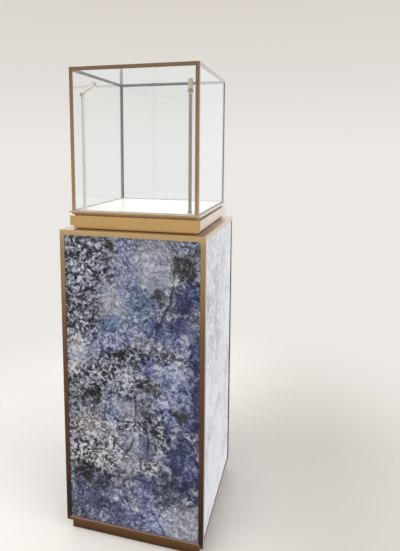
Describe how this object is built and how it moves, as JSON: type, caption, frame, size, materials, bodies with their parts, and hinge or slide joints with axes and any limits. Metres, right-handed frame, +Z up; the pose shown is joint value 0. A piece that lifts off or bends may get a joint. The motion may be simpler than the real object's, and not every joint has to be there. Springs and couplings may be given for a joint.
{
  "type": "pedestal display case",
  "caption": "Stone-clad square pedestal in a mitred metal frame, with a stepped neck, a white deck, two pole spotlights and a lift-off framed glass hood.",
  "frame": {"origin": "centre of the footprint, on the floor", "axes": "+Z up, front towards -Y, +X to the right of someone facing the front"},
  "size_m": [0.45, 0.45, 1.464],
  "materials": {
    "champagne_steel": "satin champagne-gold plated stainless steel, brushed along each piece",
    "blue_stone": "polished blue granite with charcoal crackle and lavender-grey clouds",
    "board": "raw fibreboard",
    "dark_board": "sealed dark board",
    "white_deck": "satin white acrylic",
    "clear_glass": "ultra-clear polished glass",
    "satin_nickel": "satin anodised, pale nickel",
    "black_fitting": "matte black",
    "rubber": "moulded black rubber",
    "seal": "translucent silicone",
    "zinc": "bright zinc plate",
    "driver_case": "fine-textured moulding",
    "lens": "clear lens over a warm white light source"
  },
  "bodies": {
    "base": {"plinth_skin": "champagne_steel", "bottom_pan": "champagne_steel", "top_cap": "champagne_steel", "lower_neck": "champagne_steel", "upper_neck": "champagne_steel", "band_shell": "champagne_steel", "corner_post_front_left": "champagne_steel", "corner_post_front_right": "champagne_steel", "corner_post_back_right": "champagne_steel", "corner_post_back_left": "champagne_steel", "stone_front": "blue_stone", "stone_back": "blue_stone", "stone_left": "blue_stone", "stone_right": "blue_stone", "base_board": "board", "top_board": "board", "wall_board_front": "board", "wall_board_back": "board", "wall_board_left": "board", "wall_board_right": "board", "plinth_frame": "dark_board", "band_core": "dark_board", "deck_board": "white_deck", "lamp_left_foot": "satin_nickel", "lamp_right_foot": "satin_nickel", "cable_grommet": "rubber", "led_driver": "driver_case"},
    "hood": {"hood_flange": "champagne_steel", "hood_post_front_left": "champagne_steel", "hood_post_front_right": "champagne_steel", "hood_post_back_right": "champagne_steel", "hood_post_back_left": "champagne_steel", "hood_rail_front": "champagne_steel", "hood_rail_right": "champagne_steel", "hood_rail_back": "champagne_steel", "hood_rail_left": "champagne_steel", "glass_front": "clear_glass", "glass_back": "clear_glass", "glass_left": "clear_glass", "glass_right": "clear_glass", "glass_top": "clear_glass", "glass_seal": "seal"},
    "lamp_left_arm": {"lamp_left_pole": "satin_nickel", "lamp_left_yoke": "satin_nickel", "lamp_left_pivot": "black_fitting"},
    "lamp_left_spot": {"lamp_left_head": "satin_nickel", "lamp_left_bezel": "black_fitting", "lamp_left_lens": "lens"},
    "lamp_right_arm": {"lamp_right_pole": "satin_nickel", "lamp_right_yoke": "satin_nickel", "lamp_right_pivot": "black_fitting"},
    "lamp_right_spot": {"lamp_right_head": "satin_nickel", "lamp_right_bezel": "black_fitting", "lamp_right_lens": "lens"},
    "foot_front_left": {"levelling_foot_front_left": "zinc"},
    "foot_front_right": {"levelling_foot_front_right": "zinc"},
    "foot_back_right": {"levelling_foot_back_right": "zinc"},
    "foot_back_left": {"levelling_foot_back_left": "zinc"}
  },
  "joints": [
    {"name": "hood_lift", "type": "slide", "parent": "base", "child": "hood", "axis": [0, 0, 1], "range_m": [0, 0.42]},
    {"name": "lamp_left_swivel", "type": "hinge", "parent": "base", "child": "lamp_left_arm", "pos_m": [-0.172, -0.157, 1.041], "axis": [0, 0, 1], "range_deg": [-35, 75]},
    {"name": "lamp_left_tilt", "type": "hinge", "parent": "lamp_left_arm", "child": "lamp_left_spot", "pos_m": [-0.17683, -0.15829, 1.3878], "axis": [0.2588, -0.9659, 0], "range_deg": [-18, 47]},
    {"name": "lamp_right_swivel", "type": "hinge", "parent": "base", "child": "lamp_right_arm", "pos_m": [0.1605, -0.152, 1.041], "axis": [0, 0, 1], "range_deg": [-30, 90]},
    {"name": "lamp_right_tilt", "type": "hinge", "parent": "lamp_right_arm", "child": "lamp_right_spot", "pos_m": [0.16179, -0.15683, 1.3878], "axis": [0.9659, 0.2588, 0], "range_deg": [-22, 43]},
    {"name": "foot_front_left_screw", "type": "slide", "parent": "base", "child": "foot_front_left", "axis": [0, 0, 1], "range_m": [-0.012, 0]},
    {"name": "foot_front_right_screw", "type": "slide", "parent": "base", "child": "foot_front_right", "axis": [0, 0, 1], "range_m": [-0.012, 0]},
    {"name": "foot_back_right_screw", "type": "slide", "parent": "base", "child": "foot_back_right", "axis": [0, 0, 1], "range_m": [-0.012, 0]},
    {"name": "foot_back_left_screw", "type": "slide", "parent": "base", "child": "foot_back_left", "axis": [0, 0, 1], "range_m": [-0.012, 0]}
  ]
}
